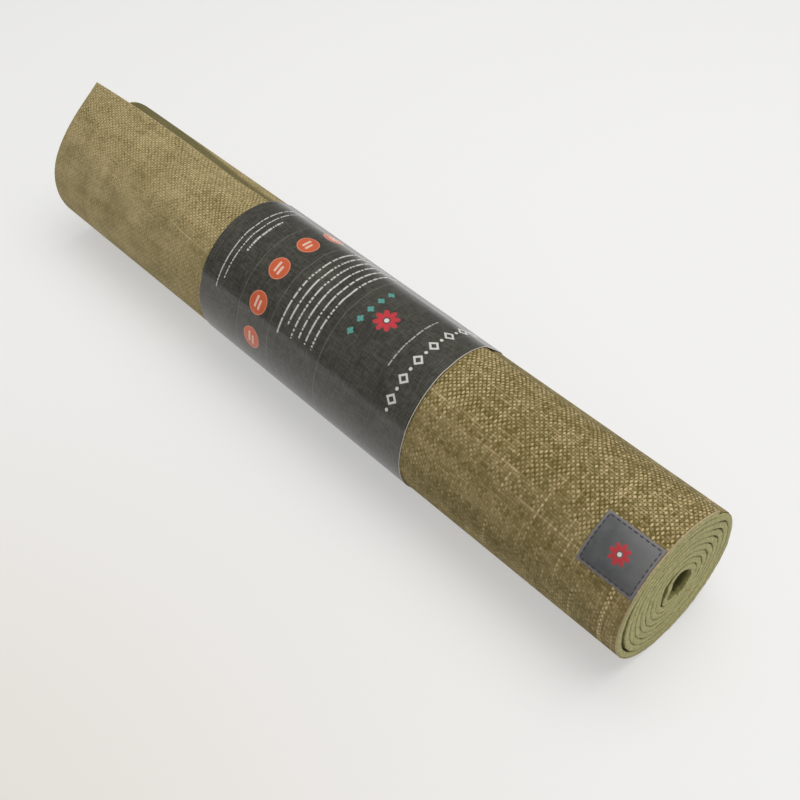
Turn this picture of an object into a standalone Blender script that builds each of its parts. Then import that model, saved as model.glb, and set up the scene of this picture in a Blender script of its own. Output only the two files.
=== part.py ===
"""Jute-faced exercise mat, rolled up and held by a printed card sleeve.

Lengths are in metres and angles in degrees. X runs along the roll, with the labelled corner at +X.
+Y points to the back and +Z up, and the origin lies on the floor under the middle of the roll.
Angles turn about the roll's axis: 0 is the back, 90 the top, 180 the front and 270 the floor.
A winding angle goes on past 360, from the mat's free edge inwards to its other end.
"""

import math

import bmesh
import bpy

# The flat mat: 24 by 72 inches, a foam base with a woven facing
MAT_WIDTH = 0.6096
MAT_LENGTH = 1.8288
FOAM_THICKNESS = 0.00372
FACING_THICKNESS = 0.0007
LAYER_GAP = 0.0002
FACING_BACK = FACING_THICKNESS
FOAM_FRONT = FACING_BACK + LAYER_GAP
FOAM_BACK = FOAM_FRONT + FOAM_THICKNESS
PITCH = FOAM_BACK + LAYER_GAP

HALF_WIDTH = 0.5 * MAT_WIDTH
MIDDLE_DEPTH = 0.5 * FOAM_BACK

# The winding: each turn keeps its radius, then steps in to pass under the one outside it
ROLL_RADIUS = 0.0553
SEAM_ANGLE = 57.0
FIRST_STEP = 0.08
STEP_GROWTH = 0.02
MARCH_STEP = 0.5

# The outer turn stands off the rest at the front, and the last half turn off the one around it
SLACK = 0.0028
SLACK_ANGLE = 182.0
SLACK_HALF = 58.0
CORE_GAP = 0.0050
CORE_TURN = 8
CORE_ANGLE = 157.0 + 360.0 * CORE_TURN
CORE_HALF = 97.0

# The free edge runs askew from under the sleeve, the next two steps follow it, less and less, and
# its far corner curls up
EDGE_TURNS_FROM = 0.115
EDGE_TURN = 21.2
EDGE_TURN_POWER = 1.35
STEPS_FOLLOW = (0.9, 0.45)
LIFT_FROM = -0.140
LIFT = 0.0204
LIFT_POWER = 1.2
LIFT_ANGLE = 150.0
LIFT_CURL = 2.2
LIFT_DRAW = 530.0
LIFT_DRAW_POWER = 3.0

# Facets: fine round the outer turn, twice as wide inside, flat on the floor
OUTER_STEP = 7.5
INNER_STEP = 15.0
INNER_FROM = 442.5
LEAST_LAST_STEP = 0.5 * INNER_STEP
FLOOR_ANGLE = 270.0
EDGE_COLUMNS = 12
LIFT_STATIONS = (-0.290, -0.272, -0.250, -0.225, -0.200, -0.175, -0.155, -0.140, -0.070, 0.020)
EDGE_PLACES = (-HALF_WIDTH, *LIFT_STATIONS, EDGE_TURNS_FROM, HALF_WIDTH)
ASKEW_PLACES = (-HALF_WIDTH, -0.225, -0.140, -0.070, 0.020, EDGE_TURNS_FROM, HALF_WIDTH)
ASKEW_UNTIL = 817.5
END_PLACES = (-HALF_WIDTH, HALF_WIDTH)
SHARP_ANGLE = 30.0

# The label sewn to the facing near the +X end
LABEL_FROM = 0.2613
LABEL_TO = 0.3033
LABEL_ANGLES = (111.25, 148.0)
LABEL_BACK = 0.0001
LABEL_THICKNESS = 0.00035
THREAD_BACK = 0.0001
THREAD_WIDTH = 0.0006
THREAD_HIGH = 0.0002
THREAD_LOW = 0.00005
THREAD_MARGIN = 0.0019
STITCH_PITCH = 0.0042
STITCH_TOP = (0.3, 0.8)

# The sleeve: a band of card, lapped and glued low at the back
CARD_THICKNESS = 0.00035
SLEEVE_CLEARANCE = 0.0003
SLEEVE_MIDDLE = (-0.1059, 0.1148)
SLEEVE_SKEW = (-0.0049, -0.0041)
LAP_ANGLE = 322.5
LAP_SPAN = 15.0
GLUE_GAP = 0.00005
GLUE_THICKNESS = 0.0001
GLUE_INSET = 1.5
LABEL_ROOM = 0.00075
LABEL_ROOM_ANGLES = (105.0, 150.0)

FOAM_COLOUR = (0.38, 0.36, 0.16)
JUTE_COLOUR = (0.33, 0.26, 0.12)
LABEL_COLOUR = (0.16, 0.17, 0.19)
THREAD_COLOUR = (0.03, 0.03, 0.035)
CARD_COLOUR = (0.10, 0.11, 0.13)
GLUE_COLOUR = (0.85, 0.83, 0.75)

SLEEVE_RADIUS = ROLL_RADIUS + SLEEVE_CLEARANCE
AXIS_HEIGHT = (SLEEVE_RADIUS + CARD_THICKNESS) * math.cos(math.radians(OUTER_STEP))


def smooth(share):
    """Ease from 0 to 1."""
    share = min(max(share, 0.0), 1.0)
    return share * share * (3.0 - 2.0 * share)


def bump(angle, centre, half_width):
    """1 at the centre, easing to 0 at half_width to either side."""
    offset = min(abs(angle - centre) / half_width, 1.0)
    return math.cos(0.5 * math.pi * offset) ** 2


def edge_angle(x):
    """Where the free edge lies, before its corner lifts."""
    share = max(EDGE_TURNS_FROM - x, 0.0) / (EDGE_TURNS_FROM + HALF_WIDTH)
    return SEAM_ANGLE + EDGE_TURN * share ** EDGE_TURN_POWER


def corner_lift(x):
    """How far the free edge stands off the roll."""
    share = max(LIFT_FROM - x, 0.0) / (LIFT_FROM + HALF_WIDTH)
    return LIFT * share ** LIFT_POWER


def steps_in(angle, x):
    """How many layers the winding has stepped in by."""
    turns = (angle - SEAM_ANGLE) / 360.0
    askew = (edge_angle(x) - SEAM_ANGLE) / 360.0
    whole = math.floor(turns)
    done = max(whole - 1, 0)
    total = done
    for k in range(done, whole + 1):
        follow = STEPS_FOLLOW[k] if k < len(STEPS_FOLLOW) else 0.0
        step = FIRST_STEP + STEP_GROWTH * k
        total += smooth((turns - k - 1.0 - follow * askew + step) / step)
    return total


def wound_radius(angle, x):
    """Radius of the facing's outer side at a winding angle."""
    radius = ROLL_RADIUS - PITCH * steps_in(angle, x)
    if angle > 360.0:
        radius -= SLACK * bump(angle % 360.0, SLACK_ANGLE, SLACK_HALF)
    return radius - CORE_GAP * bump(angle, CORE_ANGLE, CORE_HALF)


def facing_point(angle, x):
    """The facing's outer side as (y, z) about the axis."""
    radius = wound_radius(angle, x)
    if angle < LIFT_ANGLE:
        share = (LIFT_ANGLE - angle) / (LIFT_ANGLE - edge_angle(x))
        radius += corner_lift(x) * share ** LIFT_CURL
        angle += LIFT_DRAW * corner_lift(x) * share ** LIFT_DRAW_POWER
    turn = math.radians(angle)
    return radius * math.cos(turn), radius * math.sin(turn)


def mat_point(angle, x, depth):
    """A point at a depth below the facing's outer side, square to it."""
    y, z = facing_point(angle, x)
    before = facing_point(angle - MARCH_STEP, x)
    after = facing_point(angle + MARCH_STEP, x)
    along = (after[0] - before[0], after[1] - before[1])
    length = math.hypot(*along)
    return x, y - depth * along[1] / length, z + depth * along[0] / length


def wound_end():
    """The winding angle at which the mat's length is used up, on its middle layer."""
    angle = edge_angle(0.0)
    here = mat_point(angle, 0.0, MIDDLE_DEPTH)
    used = 0.0
    while used < MAT_LENGTH:
        angle += MARCH_STEP
        there = mat_point(angle, 0.0, MIDDLE_DEPTH)
        used += math.dist(here, there)
        here = there
    return angle


def ring_angles(first, last, step):
    """Facet corners from first to last, none at the floor, which is left flat."""
    count = round((last - first) / step)
    angles = [first + step * i for i in range(count + 1)]
    return [angle for angle in angles if angle % 360.0 != FLOOR_ANGLE]


def winding_angles():
    """Facet corners from where the edge columns stop to the mat's inner end."""
    end = wound_end()
    inner_count = math.floor((end - LEAST_LAST_STEP - INNER_FROM) / INNER_STEP)
    angles = ring_angles(LIFT_ANGLE, INNER_FROM - OUTER_STEP, OUTER_STEP)
    angles += [INNER_FROM + INNER_STEP * i for i in range(inner_count + 1)]
    return angles + [end]


def edge_columns(x):
    """Facet corners from the free edge round to where the edge no longer matters."""
    start = edge_angle(x)
    return [start + (LIFT_ANGLE - start) * i / EDGE_COLUMNS for i in range(EDGE_COLUMNS)]


def layer_columns():
    """Columns of facet corners as (x, angle), from the free edge to the inner end."""
    angles_at = [edge_columns(x) for x in EDGE_PLACES]
    columns = []
    for i in range(EDGE_COLUMNS):
        columns.append([(x, angles[i]) for x, angles in zip(EDGE_PLACES, angles_at)])
    for angle in winding_angles():
        if angle == LIFT_ANGLE:
            places = EDGE_PLACES
        elif angle < ASKEW_UNTIL:
            places = ASKEW_PLACES
        else:
            places = END_PLACES
        columns.append([(x, angle) for x in places])
    return columns


def add_strip(mesh, lower, upper):
    """Faces between two rows of corners that have one corner each at the same places."""
    for i in range(len(lower) - 1):
        mesh.faces.new((lower[i], lower[i + 1], upper[i + 1], upper[i]))


def finish(name, mesh, colour, roughness, parent):
    """Turn a mesh into a named object with its own material."""
    bmesh.ops.recalc_face_normals(mesh, faces=mesh.faces)
    bmesh.ops.triangulate(mesh, faces=mesh.faces)
    data = bpy.data.meshes.new(name)
    mesh.to_mesh(data)
    mesh.free()
    data.shade_smooth()
    data.set_sharp_from_angle(angle=math.radians(SHARP_ANGLE))
    surface = bpy.data.materials.new(name)
    surface.use_nodes = True
    shader = surface.node_tree.nodes["Principled BSDF"]
    shader.inputs["Base Color"].default_value = (*colour, 1.0)
    shader.inputs["Roughness"].default_value = roughness
    shader.inputs["Metallic"].default_value = 0.0
    data.materials.append(surface)
    part = bpy.data.objects.new(name, data)
    part.parent = parent
    bpy.context.scene.collection.objects.link(part)
    return part


def join_columns(mesh, places, corners, next_places, next_corners):
    """Faces between two columns, of which the second may leave out some of the first one's places."""
    spot = 0
    for i in range(len(corners) - 1):
        if places[i + 1][0] == next_places[spot + 1][0]:
            mesh.faces.new((corners[i], corners[i + 1], next_corners[spot + 1]))
            mesh.faces.new((corners[i], next_corners[spot + 1], next_corners[spot]))
            spot += 1
        else:
            mesh.faces.new((corners[i], corners[i + 1], next_corners[spot]))


def build_layer(name, front, back, colour, roughness, parent):
    """One layer of the mat, wound up, with its front and back side and its cut edges."""
    mesh = bmesh.new()
    columns = layer_columns()
    sides = []
    for depth in (front, back):
        side = []
        for column in columns:
            side.append([mesh.verts.new(mat_point(angle, x, depth)) for x, angle in column])
        sides.append(side)
    for side in sides:
        for i in range(len(columns) - 1):
            join_columns(mesh, columns[i], side[i], columns[i + 1], side[i + 1])
    front_side, back_side = sides
    for end in (0, -1):
        add_strip(mesh, [corners[end] for corners in front_side], [corners[end] for corners in back_side])
        add_strip(mesh, front_side[end], back_side[end])
    return finish(name, mesh, colour, roughness, parent)


def label_point(angle, x, height):
    """A point above the facing's facets, which have their corners at the edge columns."""
    corners = edge_columns(x) + [LIFT_ANGLE]
    before = max(corner for corner in corners if corner <= angle)
    after = min(corner for corner in corners if corner > angle)
    share = (angle - before) / (after - before)
    start = mat_point(before, x, -height)
    stop = mat_point(after, x, -height)
    return tuple(a + (b - a) * share for a, b in zip(start, stop))


def build_label(parent):
    """The bare patch: a thin plate bent over the facets below it."""
    corners = [angle for angle in edge_columns(LABEL_TO) if LABEL_ANGLES[0] < angle < LABEL_ANGLES[1]]
    angles = [LABEL_ANGLES[0], *corners, LABEL_ANGLES[1]]
    mesh = bmesh.new()
    rows = []
    for x, height in (
        (LABEL_FROM, LABEL_BACK),
        (LABEL_TO, LABEL_BACK),
        (LABEL_TO, LABEL_BACK + LABEL_THICKNESS),
        (LABEL_FROM, LABEL_BACK + LABEL_THICKNESS),
    ):
        rows.append([mesh.verts.new(label_point(angle, x, height)) for angle in angles])
    for lower, upper in zip(rows, rows[1:] + rows[:1]):
        add_strip(mesh, lower, upper)
    mesh.faces.new([row[0] for row in rows])
    mesh.faces.new([row[-1] for row in rows])
    return finish("corner_label", mesh, LABEL_COLOUR, 0.7, parent)


def rim_corners(margin):
    """Corners of a rectangle that lies inside the label's edges, as (x, angle)."""
    turn = math.degrees(margin / ROLL_RADIUS)
    low = LABEL_ANGLES[0] + turn
    high = LABEL_ANGLES[1] - turn
    start = LABEL_FROM + margin
    stop = LABEL_TO - margin
    return [(start, low), (stop, low), (stop, high), (start, high)]


def rim_point(corners, side, share):
    """A place along one side of such a rectangle."""
    (x, angle), (next_x, next_angle) = corners[side], corners[(side + 1) % 4]
    return x + (next_x - x) * share, angle + (next_angle - angle) * share


def build_stitching(parent):
    """One thread round the label, lying on top at each stitch and dipping in between."""
    outer = rim_corners(THREAD_MARGIN - 0.5 * THREAD_WIDTH)
    inner = rim_corners(THREAD_MARGIN + 0.5 * THREAD_WIDTH)
    foot = LABEL_BACK + LABEL_THICKNESS + THREAD_BACK
    long_side = LABEL_TO - LABEL_FROM - 2.0 * THREAD_MARGIN
    short_side = math.radians(outer[3][1] - outer[0][1]) * ROLL_RADIUS
    mesh = bmesh.new()
    rings = []
    for side in range(4):
        stitches = round((long_side, short_side)[side % 2] / STITCH_PITCH)
        for stitch in range(stitches):
            for place, thickness in ((0.0, THREAD_LOW), *((top, THREAD_HIGH) for top in STITCH_TOP)):
                share = (stitch + place) / stitches
                ring = []
                for corners, height in ((outer, 0.0), (inner, 0.0), (inner, thickness), (outer, thickness)):
                    x, angle = rim_point(corners, side, share)
                    ring.append(mesh.verts.new(label_point(angle, x, foot + height)))
                rings.append(ring)
    for ring, following in zip(rings, rings[1:] + rings[:1]):
        for i in range(4):
            j = (i + 1) % 4
            mesh.faces.new((ring[i], ring[j], following[j], following[i]))
    return finish("label_stitching", mesh, THREAD_COLOUR, 0.8, parent)


def card_radius(angle):
    """Inner side of the card, which climbs over its own start and stands off the label."""
    around = angle % 360.0
    low, high = LABEL_ROOM_ANGLES
    rise = smooth((around - low + OUTER_STEP) / OUTER_STEP)
    fall = smooth((high + OUTER_STEP - around) / OUTER_STEP)
    climb = smooth((angle - LAP_ANGLE - 360.0 + OUTER_STEP) / OUTER_STEP)
    lap = CARD_THICKNESS + GLUE_THICKNESS + 2.0 * GLUE_GAP
    return SLEEVE_RADIUS + LABEL_ROOM * rise * fall + lap * climb


def sleeve_edges(angle):
    """The band's two edges, which lie a little askew."""
    turn = math.cos(math.radians(angle))
    return [middle + skew * turn for middle, skew in zip(SLEEVE_MIDDLE, SLEEVE_SKEW)]


def build_band(name, angles, radii, edges, colour, roughness, parent):
    """A closed band of card or glue, with its inner and outer radius at each facet corner."""
    mesh = bmesh.new()
    rows = [[], [], [], []]
    for angle, (inner, outer), (low, high) in zip(angles, radii, edges):
        turn = math.radians(angle)
        for row, x, radius in zip(rows, (low, high, high, low), (inner, inner, outer, outer)):
            row.append(mesh.verts.new((x, radius * math.cos(turn), radius * math.sin(turn))))
    for lower, upper in zip(rows, rows[1:] + rows[:1]):
        add_strip(mesh, lower, upper)
    mesh.faces.new([row[0] for row in rows])
    mesh.faces.new([row[-1] for row in rows])
    return finish(name, mesh, colour, roughness, parent)


def build_sleeve(parent):
    """The printed band, one strip of card from its glued start round to its free lap."""
    angles = ring_angles(LAP_ANGLE, LAP_ANGLE + 360.0 + LAP_SPAN, OUTER_STEP)
    radii = [(card_radius(angle), card_radius(angle) + CARD_THICKNESS) for angle in angles]
    edges = [sleeve_edges(angle) for angle in angles]
    return build_band("card_sleeve", angles, radii, edges, CARD_COLOUR, 0.3, parent)


def facet_radius(angle, radius):
    """Distance out to a facet of the band, between two of its corners."""
    middle = OUTER_STEP * (math.floor(angle / OUTER_STEP) + 0.5)
    return radius * math.cos(math.radians(0.5 * OUTER_STEP)) / math.cos(math.radians(angle - middle))


def build_glue(parent):
    """The strip of glue between the card's start and the lap over it."""
    inner = SLEEVE_RADIUS + CARD_THICKNESS + GLUE_GAP
    start = LAP_ANGLE + GLUE_INSET
    stop = LAP_ANGLE + LAP_SPAN - GLUE_INSET
    middle = LAP_ANGLE + OUTER_STEP
    angles = [start, middle, stop]
    radii = []
    for angle in angles:
        radii.append((facet_radius(angle, inner), facet_radius(angle, inner + GLUE_THICKNESS)))
    edges = [sleeve_edges(angle) for angle in angles]
    return build_band("sleeve_glue_strip", angles, radii, edges, GLUE_COLOUR, 0.4, parent)


def report_gaps():
    """Print the least gap between neighbouring turns of each layer."""
    end = wound_end()
    for name, front, back in (("jute_facing", 0.0, FACING_BACK), ("foam_base", FOAM_FRONT, FOAM_BACK)):
        least = math.inf
        for x in ASKEW_PLACES:
            angle = edge_angle(x)
            while angle + 360.0 < end:
                inner_side = mat_point(angle, x, back)
                outer_side = mat_point(angle + 360.0, x, front)
                least = min(least, math.dist(inner_side, outer_side))
                angle += 2.0 * MARCH_STEP
        print(f"least gap between turns of {name}: {1000.0 * least:.2f} mm")
    print(f"turns: {(end - SEAM_ANGLE) / 360.0:.3f}, inner end at {end % 360.0:.1f} degrees")


def clear_scene():
    """Take away every object that the file already holds."""
    for item in list(bpy.data.objects):
        bpy.data.objects.remove(item, do_unlink=True)


def add_axis(name):
    """An empty on the roll's axis, which carries the pieces around it."""
    empty = bpy.data.objects.new(name, None)
    empty.location = (0.0, 0.0, AXIS_HEIGHT)
    bpy.context.scene.collection.objects.link(empty)
    return empty


clear_scene()
roll_axis = add_axis("roll_axis")
build_layer("foam_base", FOAM_FRONT, FOAM_BACK, FOAM_COLOUR, 0.9, roll_axis)
build_layer("jute_facing", 0.0, FACING_BACK, JUTE_COLOUR, 0.95, roll_axis)
build_label(roll_axis)
build_stitching(roll_axis)
sleeve_axis = add_axis("sleeve_axis")
build_sleeve(sleeve_axis)
build_glue(sleeve_axis)
report_gaps()
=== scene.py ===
"""Looks of the rolled jute mat and its card sleeve, in the frame of its solids.

Lengths are in metres and angles in degrees about the roll's axis: 0 back, 90 top, 180 front, 270 floor.
"""

import math

import bmesh
import bpy
from mathutils import Euler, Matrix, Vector, noise


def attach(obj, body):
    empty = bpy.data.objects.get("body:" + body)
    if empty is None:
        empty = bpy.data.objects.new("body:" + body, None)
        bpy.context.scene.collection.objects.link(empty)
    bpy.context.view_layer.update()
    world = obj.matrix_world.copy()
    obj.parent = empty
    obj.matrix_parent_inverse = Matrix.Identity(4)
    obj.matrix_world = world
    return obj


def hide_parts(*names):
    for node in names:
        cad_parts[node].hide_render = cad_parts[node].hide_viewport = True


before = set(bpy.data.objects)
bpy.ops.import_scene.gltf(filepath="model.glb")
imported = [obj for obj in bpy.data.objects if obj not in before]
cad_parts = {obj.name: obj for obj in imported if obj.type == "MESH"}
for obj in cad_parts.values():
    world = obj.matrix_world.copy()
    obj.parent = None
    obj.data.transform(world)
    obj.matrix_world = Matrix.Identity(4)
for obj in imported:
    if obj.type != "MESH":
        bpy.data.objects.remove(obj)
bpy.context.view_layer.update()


# Foam base
# A sheet of soft closed-cell foam, 24 by 72 inches, moulded in one colour with the facing bonded to
# it. It is rolled with the foam inside, so its cut sides are what the roll's two ends show.
MAT_WIDTH = 0.6096
MAT_LENGTH = 1.8288
FOAM_THICKNESS = 0.00372
FACING_THICKNESS = 0.0007
LAYER_GAP = 0.0002
FOAM_FRONT = FACING_THICKNESS + LAYER_GAP
FOAM_BACK = FOAM_FRONT + FOAM_THICKNESS
TURN_PITCH = FOAM_BACK + LAYER_GAP

ROLL_RADIUS = 0.0553
SEAM_ANGLE = 57.0
FIRST_STEP = 0.08
STEP_GROWTH = 0.02
SLACK = 0.0028
SLACK_ANGLE = 182.0
SLACK_HALF = 58.0
CORE_GAP = 0.0050
CORE_ANGLE = 157.0 + 8 * 360.0
CORE_HALF = 97.0

EDGE_TURNS_FROM = 0.115
EDGE_TURN = 21.2
EDGE_TURN_POWER = 1.35
STEPS_FOLLOW = (0.9, 0.45)
LIFT_FROM = -0.140
LIFT = 0.0204
LIFT_POWER = 1.2
LIFT_ANGLE = 150.0
LIFT_CURL = 2.2
LIFT_DRAW = 530.0
LIFT_DRAW_POWER = 3.0

SLEEVE_CLEARANCE = 0.0003
CARD_THICKNESS = 0.00035
FLOOR_FLAT = math.cos(math.radians(7.5))
AXIS_HEIGHT = (ROLL_RADIUS + SLEEVE_CLEARANCE + CARD_THICKNESS) * FLOOR_FLAT
HALF_WIDTH = 0.5 * MAT_WIDTH
MIDDLE_DEPTH = 0.5 * FOAM_BACK
MIDDLE_RADIUS = ROLL_RADIUS - MIDDLE_DEPTH
EDGE_COLUMNS = 60
OUTER_STEP = 1.5
LONGEST_STEP = 8.0


def smooth(share):
    """Ease from 0 to 1."""
    share = min(max(share, 0.0), 1.0)
    return share * share * (3.0 - 2.0 * share)


def bump(angle, centre, half_width):
    """1 at the centre, easing to 0 at half_width to either side."""
    offset = min(abs(angle - centre) / half_width, 1.0)
    return math.cos(0.5 * math.pi * offset) ** 2


def edge_angle(x):
    """Where the free edge lies, before its corner lifts."""
    share = max(EDGE_TURNS_FROM - x, 0.0) / (EDGE_TURNS_FROM + HALF_WIDTH)
    return SEAM_ANGLE + EDGE_TURN * share ** EDGE_TURN_POWER


def corner_lift(x):
    """How far the free edge stands off the roll."""
    share = max(LIFT_FROM - x, 0.0) / (LIFT_FROM + HALF_WIDTH)
    return LIFT * share ** LIFT_POWER


def steps_in(angle, x):
    """How many layers the winding has stepped in by; its first steps follow the free edge."""
    turns = (angle - SEAM_ANGLE) / 360.0
    askew = (edge_angle(x) - SEAM_ANGLE) / 360.0
    whole = math.floor(turns)
    done = max(whole - 1, 0)
    total = done
    for k in range(done, whole + 1):
        follow = STEPS_FOLLOW[k] if k < len(STEPS_FOLLOW) else 0.0
        step = FIRST_STEP + STEP_GROWTH * k
        total += smooth((turns - k - 1.0 - follow * askew + step) / step)
    return total


def wound_radius(angle, x):
    """Radius of the facing's outer side at a winding angle."""
    radius = ROLL_RADIUS - TURN_PITCH * steps_in(angle, x)
    if angle > 360.0:
        radius -= SLACK * bump(angle % 360.0, SLACK_ANGLE, SLACK_HALF)
    return radius - CORE_GAP * bump(angle, CORE_ANGLE, CORE_HALF)


def facing_point(angle, x):
    """The facing's outer side as (y, z) about the axis, pressed flat on the floor."""
    radius = wound_radius(angle, x)
    if angle < LIFT_ANGLE:
        share = (LIFT_ANGLE - angle) / (LIFT_ANGLE - edge_angle(x))
        radius += corner_lift(x) * share ** LIFT_CURL
        angle += LIFT_DRAW * corner_lift(x) * share ** LIFT_DRAW_POWER
    turn = math.radians(angle)
    return radius * math.cos(turn), max(radius * math.sin(turn), -radius * FLOOR_FLAT)


def mat_frame(angle, x):
    """The facing's outer side and the direction square to it, out of the roll."""
    reach = 0.5
    y, z = facing_point(angle, x)
    before = facing_point(angle - reach, x)
    after = facing_point(angle + reach, x)
    along = (after[0] - before[0], after[1] - before[1])
    length = math.hypot(*along)
    return (y, z + AXIS_HEIGHT), (along[1] / length, -along[0] / length)


def below_facing(x, angle, depth):
    """A point at a depth below the facing's outer side, or above it where the depth is negative."""
    (y, z), (out_y, out_z) = mat_frame(angle, x)
    return x, y - depth * out_y, z - depth * out_z


def wound_columns(chord):
    """Winding angles past the free edge with the length used up at each, on the mat's middle layer.
    The outer turn has even steps, and the inner ones a chord's length each."""
    angle = LIFT_ANGLE
    used = math.radians(LIFT_ANGLE - edge_angle(0.0)) * MIDDLE_RADIUS
    columns = [(angle, used)]
    while used < MAT_LENGTH:
        step = OUTER_STEP
        if angle > SEAM_ANGLE + 360.0:
            step = min(math.degrees(chord / wound_radius(angle, 0.0)), LONGEST_STEP)
        here = below_facing(0.0, angle, MIDDLE_DEPTH)
        angle += step
        used += math.dist(here, below_facing(0.0, angle, MIDDLE_DEPTH))
        columns.append((angle, used))
    return columns


def wrap_rings(mesh, rings):
    """Faces between rings of vertices, listed for each side of a ring."""
    count = len(rings[0])
    sides = [[] for _ in range(count)]
    for ring, following in zip(rings, rings[1:]):
        for k, side in enumerate(sides):
            n = (k + 1) % count
            side.append(mesh.faces.new((ring[k], ring[n], following[n], following[k])))
    return sides


def close_ends(mesh, rings):
    """Faces across the first and the last ring, each end in a row of them."""
    ends = []
    for ring in (rings[0], rings[-1]):
        for k in range(len(ring) // 2 - 1):
            ends.append(mesh.faces.new((ring[k], ring[k + 1], ring[-2 - k], ring[-1 - k])))
    return ends


def make_piece(name, mesh, finishes, **maps):
    """A smooth object of a closed mesh. A map holds its vertices' places on the flat material."""
    for layer in maps:
        mesh.loops.layers.uv.new(layer)
    bmesh.ops.recalc_face_normals(mesh, faces=mesh.faces)
    for face in mesh.faces:
        face.smooth = True
    for layer, places in maps.items():
        uv = mesh.loops.layers.uv[layer]
        for face in mesh.faces:
            for loop in face.loops:
                loop[uv].uv = places[loop.vert]
    data = bpy.data.meshes.new(name)
    mesh.to_mesh(data)
    mesh.free()
    for finish in finishes:
        data.materials.append(finish)
    piece = bpy.data.objects.new(name, data)
    bpy.context.scene.collection.objects.link(piece)
    return piece


def wound_sheet(name, finish, section, stations, chord):
    """A sheet wound with the roll. The section gives its outline across the mat as a closed loop of
    places along the roll and depths, at a column, or beside the free edge where the column is None.
    Its maps hold metres: across the mat and along it, or along it and into its depth."""
    mesh = bmesh.new()
    flat = {}
    cut = {}
    columns = wound_columns(chord)
    places = [(i / EDGE_COLUMNS, None) for i in range(EDGE_COLUMNS)]
    places += [(None, column) for column in columns]
    rings = []
    for share, column in places:
        ring = []
        for x, depth in section(column, stations):
            if column is None:
                start = edge_angle(x)
                angle = start + (LIFT_ANGLE - start) * share
                used = columns[0][1] * share
            else:
                angle, used = column
            vertex = mesh.verts.new(below_facing(x, angle, depth))
            flat[vertex] = (x, used)
            cut[vertex] = (used, depth)
            ring.append(vertex)
        rings.append(ring)
    wrap_rings(mesh, rings)
    close_ends(mesh, rings)
    return make_piece(name, mesh, [finish], flat=flat, cut=cut)


FOAM_STATIONS = [-0.290 + 0.0145 * i for i in range(12)] + [-0.06, 0.03, 0.12, 0.2, 0.28]
FOAM_CHORD = 0.0015
FOAM_ROUND = 0.00032
FOAM_SWELL = 0.00054
FOAM_SWELL_REACH = 0.0022
FOAM_SWELL_LENGTH = 0.0035
OUTER_SWELL = (0.25, 0.7)
FOAM_WAVER = 0.00022
FOAM_WAVER_LENGTHS = (0.03, 0.005)
TUCK_ANGLES = (SEAM_ANGLE + 290.0, SEAM_ANGLE + 350.0)


def wander(along, size, seed):
    """A smooth wandering value between about -1 and 1."""
    return noise.noise(Vector((along / size, seed, 0.37 * seed)))


def foam_edge(tip, front, back):
    """One cut edge of the foam, from its front to its back, as distances across and depths."""
    inner = 0.3 * FOAM_ROUND
    corner = 0.45 * FOAM_ROUND
    deep = 1.5 * FOAM_ROUND
    front = FOAM_FRONT - front
    back = FOAM_BACK + back
    edge = [(tip - FOAM_SWELL_REACH, FOAM_FRONT), (tip - FOAM_ROUND, front), (tip - inner, front + corner)]
    edge += [(tip, front + deep), (tip, back - deep), (tip - inner, back - corner)]
    return edge + [(tip - FOAM_ROUND, back), (tip - FOAM_SWELL_REACH, FOAM_BACK)]


def tucked(angle):
    """0 on the outer turn, easing to 1 where the next turn has passed under it."""
    low, high = TUCK_ANGLES
    return smooth((angle - low) / (high - low))


def foam_swell(used, seed):
    """How far a cut edge swells to one side; it closes on its neighbour but for short gaps."""
    return FOAM_SWELL * min(max(1.06 + 1.5 * wander(used, FOAM_SWELL_LENGTH, seed), 0.1), 1.0)


def foam_section(column, stations):
    """The foam across the mat: flat sides, with edges that swell unevenly where they were cut."""
    angle, used = (SEAM_ANGLE, 0.0) if column is None else column
    under = tucked(angle)
    free_front, free_back = (share + (1.0 - share) * under for share in OUTER_SWELL)
    slow, quick = FOAM_WAVER_LENGTHS
    edges = []
    for seed in (3.1, 14.9):
        front = foam_swell(used, seed) * free_front
        back = foam_swell(used, seed + 4.6) * free_back
        waver = 0.6 + wander(used, slow, seed + 8.2) + 0.4 * wander(used, quick, seed)
        edges.append(foam_edge(HALF_WIDTH - FOAM_WAVER * waver, front, back))
    far, near = edges
    loop = [(-x, depth) for x, depth in reversed(far[:4])]
    loop += [(x, FOAM_FRONT) for x in stations] + near
    loop += [(x, FOAM_BACK) for x in reversed(stations)]
    return loop + [(-x, depth) for x, depth in reversed(far[4:])]


def feed(tree, slot, value):
    """Give a node's slot a plain number, or another node's result."""
    if isinstance(value, Shade):
        tree.links.new(value.socket, slot)
    else:
        slot.default_value = value


def worked_out(tree, operation, *values):
    """A number that a node works out from others."""
    node = tree.nodes.new("ShaderNodeMath")
    node.operation = operation
    for slot, value in zip(node.inputs, values):
        feed(tree, slot, value)
    return Shade(tree, node.outputs[0])


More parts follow.
